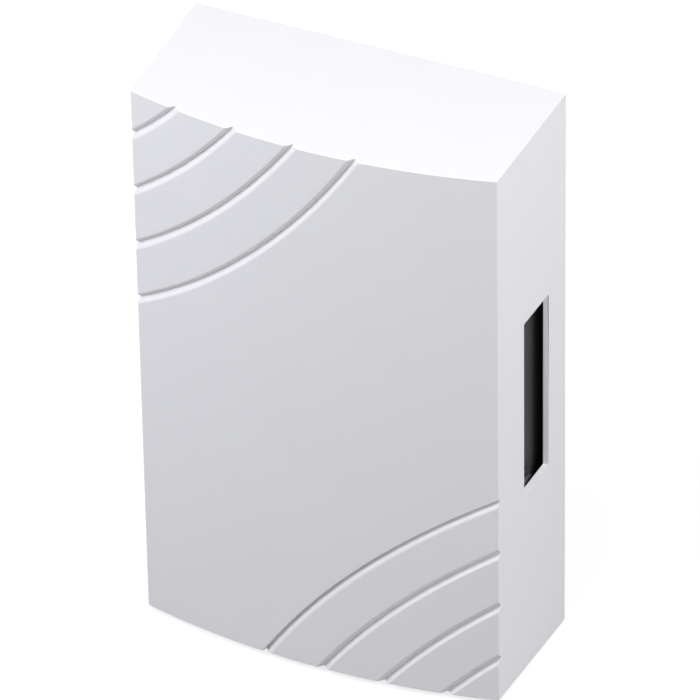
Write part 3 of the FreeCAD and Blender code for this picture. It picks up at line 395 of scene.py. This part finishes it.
def screw_pair(name, node, head_height, shank_radius, crossed):
    """The two like screws of a node, one at each end of its box."""
    low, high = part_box(node)
    middle, reach = (low + high) / 2, (high - low) / 2
    head_radius = min(reach.x, reach.z)
    pair = bmesh.new()
    for way in (-1, 1):
        across = middle.x + way * (reach.x - head_radius)
        up = middle.z + way * (reach.z - head_radius)
        seat = Vector((across, low.y + head_height, up))
        screw = pan_head_screw(seat, head_radius, head_height, shank_radius, high.y, crossed)
        pair.from_mesh(screw.data)
        bpy.data.objects.remove(screw)
    screws = as_object(name, pair)
    screws.data.shade_smooth()
    screws.data.set_sharp_from_angle(angle=head_crease)
    screws.data.materials.append(plated_steel)
    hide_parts(node)
    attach(screws, "root")


screw_pair("coil_frame_screws", "frame_screws", tapping_head, tapping_shank, True)
screw_pair("terminal_block_screws", "block_screws", tapping_head, tapping_shank, True)
screw_pair("terminal_clamp_screws", "terminal_screws", clamp_head, clamp_shank, False)

# Coil leads: fine stranded wire in soft plastic, one red and one black, from under the tape down
# to the solder tags. A bead of solder holds each bared end on its tag.

lead_shares = (
    (0.00, 0.00, 0.00),
    (0.00, 0.00, 0.25),
    (0.33, 0.80, 0.50),
    (0.92, 1.00, 0.75),
    (1.00, 1.00, 1.00),
)
lead_radius = 0.65 * mm
lead_facets, lead_steps = 5, 16
bead_size = Vector((1.15, 0.55, 1.3)) * mm
bead_segments, bead_rings = 28, 18
bead_rise, bead_drop = 0.7, 0.3 * mm
lump_height, lumps_across, lumps_up = 0.09, 3, 4
red_covering = worked_surface("red_covering", (0.5, 0.03, 0.03), 0.38, 0.5 * mm, 0.004 * mm, tint=0.05)
black_covering = worked_surface("black_covering", (0.03, 0.03, 0.03), 0.38, 0.5 * mm, 0.004 * mm, tint=0.1)
solder = metal("solder", (0.66, 0.66, 0.67), 0.22, 0.4 * mm, 0.01 * mm, (1, 1, 1))
beads = bmesh.new()
for side, way, covering, lead_slot in (
    ("left", -1, red_covering, "lead_red"),
    ("right", 1, black_covering, "lead_black"),
):
    low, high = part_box(f"coil_lead_{side}")
    outer, inner = max(abs(low.x), abs(high.x)), min(abs(low.x), abs(high.x))
    start = Vector((way * (outer - lead_radius), low.y + lead_radius, high.z))
    end = Vector((way * (inner + lead_radius), high.y - lead_radius, low.z))
    route = bpy.data.curves.new(f"{side}_lead", "CURVE")
    route.dimensions = "3D"
    route.bevel_depth = lead_radius
    route.bevel_resolution = lead_facets
    route.use_fill_caps = True
    line = route.splines.new("NURBS")
    line.points.add(len(lead_shares) - 1)
    for point, shares in zip(line.points, lead_shares):
        point.co = (*[a + (b - a) * share for a, b, share in zip(start, end, shares)], 1)
    line.order_u = 3
    line.use_endpoint_u = True
    line.resolution_u = lead_steps
    lead = bpy.data.objects.new(f"{side}_lead", route)
    scene.collection.objects.link(lead)
    lead.data.materials.append(covering)
    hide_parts(f"coil_lead_{side}")
    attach(lead, "root")
    bead = bmesh.ops.create_uvsphere(
        beads, u_segments=bead_segments, v_segments=bead_rings, radius=1
    )
    middle = end + Vector((0, lead_radius - bead_size.y * bead_rise, -bead_drop))
    for vertex in bead["verts"]:
        waves = sin(lumps_across * vertex.co.x + way) * cos(lumps_up * vertex.co.z)
        lump = 1 + lump_height * waves
        vertex.co = middle + Vector(part * size * lump for part, size in zip(vertex.co, bead_size))
solder_beads = as_object("solder_beads", beads)
solder_beads.data.shade_smooth()
solder_beads.data.materials.append(solder)
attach(solder_beads, "root")

# Front cover: one white polystyrene moulding, drafted so that it leaves its mould. The face bows
# forward, four soft-lipped grooves sweep round two opposite corners, and each side has a slot
# for the sound. It pushes on over the tongues of the base plate.

cover_low, cover_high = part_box("front_cover")
wall_half_width, wall_half_height, cover_front = cover_high.x, cover_high.z, -cover_low.y
side_depth = 48.5 * mm
side_taper, top_taper = 1.25 * mm, 2 * mm
side_wall, face_wall = 1.6 * mm, 3 * mm
edge_round = 0.35 * mm
hollow_round, hollow_overrun = 0.8 * mm, 4 * mm
crown_step, row_step = 3 * mm, 6 * mm
round_steps, floor_steps, arc_steps = 4, 2, 60
nearly_upright = 0.999999
cells_in_drawn_lines, joined_within = 4, 1e-4
least_normal, least_facing = 0.5, 0.3

face_half_width = wall_half_width - side_taper
face_half_height = wall_half_height - top_taper
crown = cover_front - side_depth
drum_radius = (face_half_width**2 + crown**2) / (2 * crown)

groove_reach = 123 * mm
groove_first, groove_pitch, groove_count = 16.4 * mm, 20.3 * mm, 4
groove_width, groove_depth = 2.6 * mm, 1.8 * mm
groove_floor_width = 0.1 * mm
arc_overrun = 2 * groove_width
lip_radius, floor_radius = 1.1 * mm, 0.08 * mm
crisp_share, broad_share = 0.35, 1.35
wall_lean = atan2(groove_depth, (groove_width - groove_floor_width) / 2)
lip_start = groove_width / 2 + lip_radius * tan(wall_lean / 2)
wall_start = lip_start - lip_radius * sin(wall_lean)
wall_start_drop = lip_radius * (1 - cos(wall_lean))
floor_edge = floor_radius * sin(wall_lean)
groove_bottom = wall_start_drop + (wall_start - floor_edge) * tan(wall_lean)
groove_bottom += floor_radius * (1 - cos(wall_lean))


def groove_across(offset):
    """How far a groove falls at an offset from its middle, and how steeply."""
    away = abs(offset)
    if away >= lip_start:
        return 0, 0
    if away > wall_start:
        run = lip_start - away
        level = sqrt(lip_radius**2 - run**2)
        return lip_radius - level, run / level
    if away > floor_edge:
        return wall_start_drop + (wall_start - away) * tan(wall_lean), tan(wall_lean)
    level = sqrt(floor_radius**2 - away**2)
    return groove_bottom - floor_radius + level, away / level


def groove_offsets():
    """The lines along a groove that its mesh is drawn on, from the middle out to the lip."""
    lines = [0]
    for step in range(1, floor_steps + 1):
        lines.append(floor_radius * sin(wall_lean * step / floor_steps))
    lines.append((wall_start + floor_edge) / 2)
    for step in range(round_steps + 1):
        lines.append(lip_start - lip_radius * sin(wall_lean * (1 - step / round_steps)))
    return lines


def groove_centre(corner):
    """Centre of the arcs at the upper left corner, 1, or at the lower right one, -1."""
    reach = Vector((-face_half_width - groove_reach, face_half_height + groove_reach))
    return reach * corner


groove_radii = [
    hypot(groove_reach, groove_reach + groove_first + groove_pitch * index)
    for index in range(groove_count)
]


def side_share(corner, groove_radius, offset):
    """How wide a groove's side is drawn: the longest one below has a crisp and a broad side."""
    if corner == 1 or groove_radius != groove_radii[-1]:
        return 1
    return crisp_share if offset > 0 else broad_share


def rounded_rectangle(half_across, half_up, radius):
    """Points round a rectangle with rounded corners, anticlockwise from its right side."""
    points = []
    for quarter, (right, top) in enumerate(((1, 1), (-1, 1), (-1, -1), (1, -1))):
        centre = Vector((right * (half_across - radius), top * (half_up - radius)))
        for step in range(round_steps + 1):
            angle = (quarter + step / round_steps) * pi / 2
            points.append(centre + radius * Vector((cos(angle), sin(angle))))
    return points


def nearest_edge(across, up, half_across, half_up, radius):
    """How far inside a rounded rectangle a point is, and the way to its nearest side."""
    past_across = abs(across) - (half_across - radius)
    past_up = abs(up) - (half_up - radius)
    sign_across, sign_up = (1 if across > 0 else -1), (1 if up > 0 else -1)
    if past_across > 0 and past_up > 0:
        distance = hypot(past_across, past_up)
        way = Vector((sign_across * past_across, sign_up * past_up)) / distance
        return radius - distance, way
    if past_across > past_up:
        return radius - past_across, Vector((sign_across, 0))
    return radius - past_up, Vector((0, sign_up))


def face_lines(half_across, half_up, rounding, grooved):
    """The lines that the face's mesh is drawn on: its rounded rim, its bow and its grooves."""
    lines = []
    for step in range(round_steps + 1):
        inset = rounding * (1 - sin(step / round_steps * pi / 2))
        rim = rounded_rectangle(half_across - inset, half_up - inset, rounding - inset)
        lines.append(rim + rim[:1])
    columns = int(half_across / crown_step)
    for column in range(-columns, columns + 1):
        across = column * crown_step
        lines.append([Vector((across, -half_up)), Vector((across, half_up))])
    rows = int(half_up / row_step)
    for row in range(-rows, rows + 1):
        up = row * row_step
        lines.append([Vector((-half_across, up)), Vector((half_across, up))])
    if not grooved:
        return lines
    for corner in (1, -1):
        for groove_radius in groove_radii:
            first_angle = asin(groove_reach / groove_radius) - arc_overrun / groove_radius
            sweep = pi / 2 - 2 * first_angle
            for line in groove_offsets():
                for offset in {line, -line}:
                    arc = []
                    for step in range(arc_steps + 1):
                        angle = -first_angle - sweep * step / arc_steps
                        arm = Vector((cos(angle), sin(angle))) * corner
                        across = offset * side_share(corner, groove_radius, offset)
                        arc.append(groove_centre(corner) + arm * (groove_radius + across))
                    lines.append(arc)
    return lines


def drafted_skin(name, side_inset, face_inset, rounding, grooved, rear):
    """A closed block with drafted sides and a crowned face. Every point keeps its true normal."""
    half_across, half_up = face_half_width - side_inset, face_half_height - side_inset
    radius = drum_radius - face_inset
    drum_middle = cover_front - drum_radius

    points = []
    edges = []
    for line in face_lines(half_across, half_up, rounding, grooved):
        first, last = len(points), len(points) + len(line) - 1
        edges.extend((index, index + 1) for index in range(first, last))
        points.extend(point / mm for point in line)
    drawn = delaunay_2d_cdt(points, edges, [], cells_in_drawn_lines, joined_within)
    places, cells = drawn[0], drawn[2]

    mesh = bmesh.new()
    normal_layer = mesh.verts.layers.float_vector.new("skin_normal")

    def draft(depth):
        """How much wider and taller the block is at a depth off the wall than at its front."""
        behind = 1 - depth / side_depth
        return 1 + behind * side_taper / half_across, 1 + behind * top_taper / half_up

    def set_down(across, up, depth, normal):
        """A point of the block at a depth off the wall, moved with the draft of the sides."""
        wider, taller = draft(depth)
        vertex = mesh.verts.new((across * wider, -depth, up * taller))
        lean = abs(normal.x) * side_taper / side_depth + abs(normal.z) * top_taper / side_depth
        vertex[normal_layer] = (normal - Vector((0, lean, 0))).normalized()
        return vertex

    vertices = {}

    def face_vertex(index):
        """The vertex of the crowned, grooved and rounded face at one of the drawn places."""
        if index in vertices:
            return vertices[index]
        across, up = places[index] * mm
        level = sqrt(radius**2 - across**2)
        depth = drum_middle + level
        slope = Vector((-across / level, 0))
        if grooved:
            for corner in (1, -1):
                arm = Vector((across, up)) - groove_centre(corner)
                groove_radius = min(groove_radii, key=lambda near: abs(arm.length - near))
                offset = arm.length - groove_radius
                share = side_share(corner, groove_radius, offset)
                drop, steep = groove_across(offset / share)
                depth -= drop
                slope += arm.normalized() * steep / share * (1 if offset > 0 else -1)
        inset, way = nearest_edge(across, up, half_across, half_up, rounding)
        if inset < rounding:
            angle = asin(min(1 - inset / rounding, nearly_upright))
            depth -= rounding * (1 - cos(angle))
            slope -= way * tan(angle)
        normal = Vector((-slope.x, -1, -slope.y)).normalized()
        vertices[index] = set_down(across, up, depth, normal)
        return vertices[index]

    for cell in cells:
        middle = sum((places[index] for index in cell), Vector((0, 0))) / len(cell) * mm
        if abs(middle.x) < half_across and abs(middle.y) < half_up:
            mesh.faces.new([face_vertex(index) for index in cell])

    following_rim = {}
    for edge in mesh.edges:
        if edge.is_boundary:
            loop = edge.link_loops[0]
            following_rim[loop.vert] = loop.link_loop_next.vert
    ring = [next(iter(following_rim))]
    while following_rim[ring[-1]] is not ring[0]:
        ring.append(following_rim[ring[-1]])

    rings = [ring]
    for step in range(round_steps + 1):
        angle = step / round_steps * pi / 2
        depth, inset = rear + rounding * (1 - sin(angle)), rounding * (1 - cos(angle))
        rings.append([])
        for vertex in ring:
            wider, taller = draft(-vertex.co.y)
            outward = Vector(vertex[normal_layer])
            outward.y = 0
            outward.normalize()
            across = vertex.co.x / wider - outward.x * inset
            up = vertex.co.z / taller - outward.z * inset
            normal = outward * cos(angle) + Vector((0, sin(angle), 0))
            rings[-1].append(set_down(across, up, depth, normal))
    bridge(mesh, rings)
    mesh.faces.new(rings[-1])
    bmesh.ops.recalc_face_normals(mesh, faces=mesh.faces)
    return as_object(name, mesh)


slot_height, slot_width, slot_rise = 64.7 * mm, 17.3 * mm, 1.2 * mm
slot_depth = 21 * mm
slot_lip, slot_corner = 0.45 * mm, 0.4 * mm
slot_draft = radians(23)
least_corner = 0.1 * mm
slot_reach, slot_outside = 5 * mm, 2 * mm
lip_overlap, lip_lead = 1.2 * slot_lip, 0.05 * slot_lip
rib_inset, rib_thick, rib_width, rib_length = 9.75 * mm, 1.6 * mm, 5 * mm, 12 * mm
rib_rear, rib_sunk = 2.8 * mm, 0.6 * mm


def slot_block(name, side):
    """What is cut out for a sound slot, with a rounded lip at the outside."""
    mesh = bmesh.new()
    normal_layer = mesh.verts.layers.float_vector.new("skin_normal")
    steps = [(-slot_outside, lip_overlap, 0), (-lip_lead, lip_overlap, 0)]
    for step in range(1, round_steps + 1):
        angle = step / round_steps * (pi / 2 - slot_draft)
        steps.append((slot_lip * (1 - cos(angle)), slot_lip * (1 - sin(angle)), angle))
    sunk, growth, angle = steps[-1]
    steps.append((slot_reach, growth - (slot_reach - sunk) * tan(slot_draft), angle))
    rings = []
    for sunk, growth, angle in steps:
        half_across, half_up = slot_width / 2 + growth, slot_height / 2 + growth
        corner = max(slot_corner + growth, least_corner)
        rings.append([])
        for point in rounded_rectangle(half_across, half_up, corner):
            y, z = point.x - slot_depth, point.y + slot_rise
            x = wall_half_width + y * side_taper / side_depth - sunk
            _, way = nearest_edge(point.x, point.y, half_across, half_up, corner)
            vertex = mesh.verts.new((side * x, y, z))
            inward = Vector((0, -way.x, -way.y)) * sin(angle)
            vertex[normal_layer] = inward + Vector((side * cos(angle), 0, 0))
            rings[-1].append(vertex)
    bridge(mesh, rings)
    mesh.faces.new(rings[0])
    mesh.faces.new(rings[-1])
    bmesh.ops.recalc_face_normals(mesh, faces=mesh.faces)
    return as_object(name, mesh)


def cover_rib(side, level):
    """A rib inside the cover's top or foot, its root sunk in the wall."""
    wall = wall_half_height - side_wall - rib_rear * top_taper / side_depth
    across = side * (wall_half_width - rib_inset)
    ends = sorted((level * (wall - rib_width), level * (wall + rib_sunk)))
    low = Vector((across - rib_thick / 2, -rib_rear - rib_length, ends[0]))
    high = Vector((across + rib_thick / 2, -rib_rear, ends[1]))
    return as_object("rib", bar(low, high))


def show_true_normals(mesh):
    """Shades each corner by the normal that its point was made with, or else by its face's."""
    mesh.shade_smooth()
    kept = mesh.attributes["skin_normal"].data
    normals = []
    for polygon in mesh.polygons:
        for index in polygon.vertices:
            known = kept[index].vector
            facing = known.dot(polygon.normal) > least_facing
            usable = known.length > least_normal and facing
            normals.append(known if usable else polygon.normal)
    mesh.normals_split_custom_set(normals)


cover = drafted_skin("cover_moulding", 0, 0, edge_round, True, 0)
hollow = drafted_skin("cover_hollow", side_wall, face_wall, hollow_round, False, -hollow_overrun)
for point in hollow.data.attributes["skin_normal"].data:
    point.vector = -point.vector
combine(cover, hollow, "DIFFERENCE")
for side in (-1, 1):
    combine(cover, slot_block("slot_block", side), "DIFFERENCE")
for side in (-1, 1):
    for level in (-1, 1):
        combine(cover, cover_rib(side, level), "UNION")
show_true_normals(cover.data)
white_polystyrene = worked_surface(
    "white_polystyrene", (0.86, 0.86, 0.865), 0.42, 0.3 * mm, 0.003 * mm, tint=0.015
)
cover.data.materials.clear()
cover.data.materials.append(white_polystyrene)
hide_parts("front_cover")
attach(cover, "cover")

# Camera: it looks down on the chime from the front and its right, from far off through a long
# lens, as the photograph does.

view_azimuth, view_elevation, view_roll = radians(25.34), radians(35.86), radians(-0.95)
view_distance, view_near, view_far = 2.52, 0.1, 50
lens_length, picture_width = 417.7, 36
middle_right, middle_up = -10.3 * mm, -10.7 * mm
away = Vector((sin(view_azimuth), -cos(view_azimuth), tan(view_elevation))).normalized()
turn = away.to_track_quat("Z", "Y") @ Quaternion((0, 0, 1), view_roll)
camera = bpy.data.objects.new("camera", bpy.data.cameras.new("camera"))
camera.data.sensor_width = picture_width
camera.data.lens = lens_length
camera.data.clip_start, camera.data.clip_end = view_near, view_far
camera.rotation_mode = "QUATERNION"
camera.rotation_quaternion = turn
camera.location = turn @ Vector((middle_right, middle_up, view_distance))
scene.collection.objects.link(camera)
scene.camera = camera

# Light: soft boxes at the front left, at the right and overhead, as in the photograph, and a weak
# one behind for the back. The world adds a little from all round, and is plain white where it is
# seen itself.

world_colour, world_strength = (0.98, 0.99, 1, 1), 0.2


def soft_lamp(name, way, distance, size, strength, colour):
    """A square soft box that shines at the chime; strength is what it adds to a facing white."""
    way = Vector(way).normalized()
    lamp = bpy.data.objects.new(name, bpy.data.lights.new(name, "AREA"))
    lamp.data.size = size
    lamp.data.color = colour
    lamp.data.energy = strength * pi**2 * distance**2
    lamp.location = way * distance
    lamp.rotation_mode = "QUATERNION"
    lamp.rotation_quaternion = way.to_track_quat("Z", "Y")
    scene.collection.objects.link(lamp)


soft_lamp("front_left_box", (-0.5, -0.6, 0.6), 0.8, 0.5, 0.725, (0.905, 0.915, 0.985))
soft_lamp("right_box", (0.8, -0.12, 0.6), 0.8, 0.7, 0.805, (0.95, 0.955, 1))
soft_lamp("overhead_box", (-0.1, -0.3, 0.95), 0.7, 0.5, 0.14, (1, 0.97, 0.87))
soft_lamp("rear_box", (0, 1, 0), 0.9, 0.3, 0.3, (1, 1, 1))


def seen_directly(nodes, links):
    """1 for rays from the camera, off gloss or through glass; 0 for light that scatters."""
    rays = nodes.new("ShaderNodeLightPath")
    seen = rays.outputs["Is Camera Ray"]
    for kind in ("Is Glossy Ray", "Is Transmission Ray"):
        either = nodes.new("ShaderNodeMath")
        either.operation = "MAXIMUM"
        links.new(seen, either.inputs[0])
        links.new(rays.outputs[kind], either.inputs[1])
        seen = either.outputs[0]
    return seen


world = bpy.data.worlds.new("studio")
scene.world = world
world.use_nodes = True
nodes, links = world.node_tree.nodes, world.node_tree.links
dim = nodes["Background"]
dim.inputs["Color"].default_value = world_colour
dim.inputs["Strength"].default_value = world_strength
bright = nodes.new("ShaderNodeBackground")
bright.inputs["Color"].default_value = (1, 1, 1, 1)
mixed = nodes.new("ShaderNodeMixShader")
links.new(seen_directly(nodes, links), mixed.inputs["Fac"])
links.new(dim.outputs[0], mixed.inputs[1])
links.new(bright.outputs[0], mixed.inputs[2])
links.new(mixed.outputs[0], nodes["World Output"].inputs["Surface"])

# Floor: a pale sheet level with the chime's foot. It is white where it is seen, with the chime's
# soft shadow, and grey for the light that it throws back up.

floor_reach = 6
scattering_grey, seen_grey, seen_glow = 0.25, 0.4, 0.74
floor_mesh = bmesh.new()
bmesh.ops.create_grid(floor_mesh, x_segments=1, y_segments=1, size=floor_reach)
floor = as_object("floor", floor_mesh)
floor.location.z = -wall_half_height
paint = bpy.data.materials.new("floor_paint")
paint.use_nodes = True
nodes, links = paint.node_tree.nodes, paint.node_tree.links
nodes.remove(nodes["Principled BSDF"])
grey = nodes.new("ShaderNodeBsdfDiffuse")
grey.inputs["Color"].default_value = (*[scattering_grey] * 3, 1)
white = nodes.new("ShaderNodeBsdfDiffuse")
white.inputs["Color"].default_value = (*[seen_grey] * 3, 1)
glow = nodes.new("ShaderNodeEmission")
glow.inputs["Strength"].default_value = seen_glow
lit = nodes.new("ShaderNodeAddShader")
links.new(white.outputs[0], lit.inputs[0])
links.new(glow.outputs[0], lit.inputs[1])
mixed = nodes.new("ShaderNodeMixShader")
links.new(seen_directly(nodes, links), mixed.inputs["Fac"])
links.new(grey.outputs[0], mixed.inputs[1])
links.new(lit.outputs[0], mixed.inputs[2])
links.new(mixed.outputs[0], nodes["Material Output"].inputs["Surface"])
floor.data.materials.append(paint)

# Picture: colours are shown as they are written.

scene.view_settings.view_transform = "Standard"
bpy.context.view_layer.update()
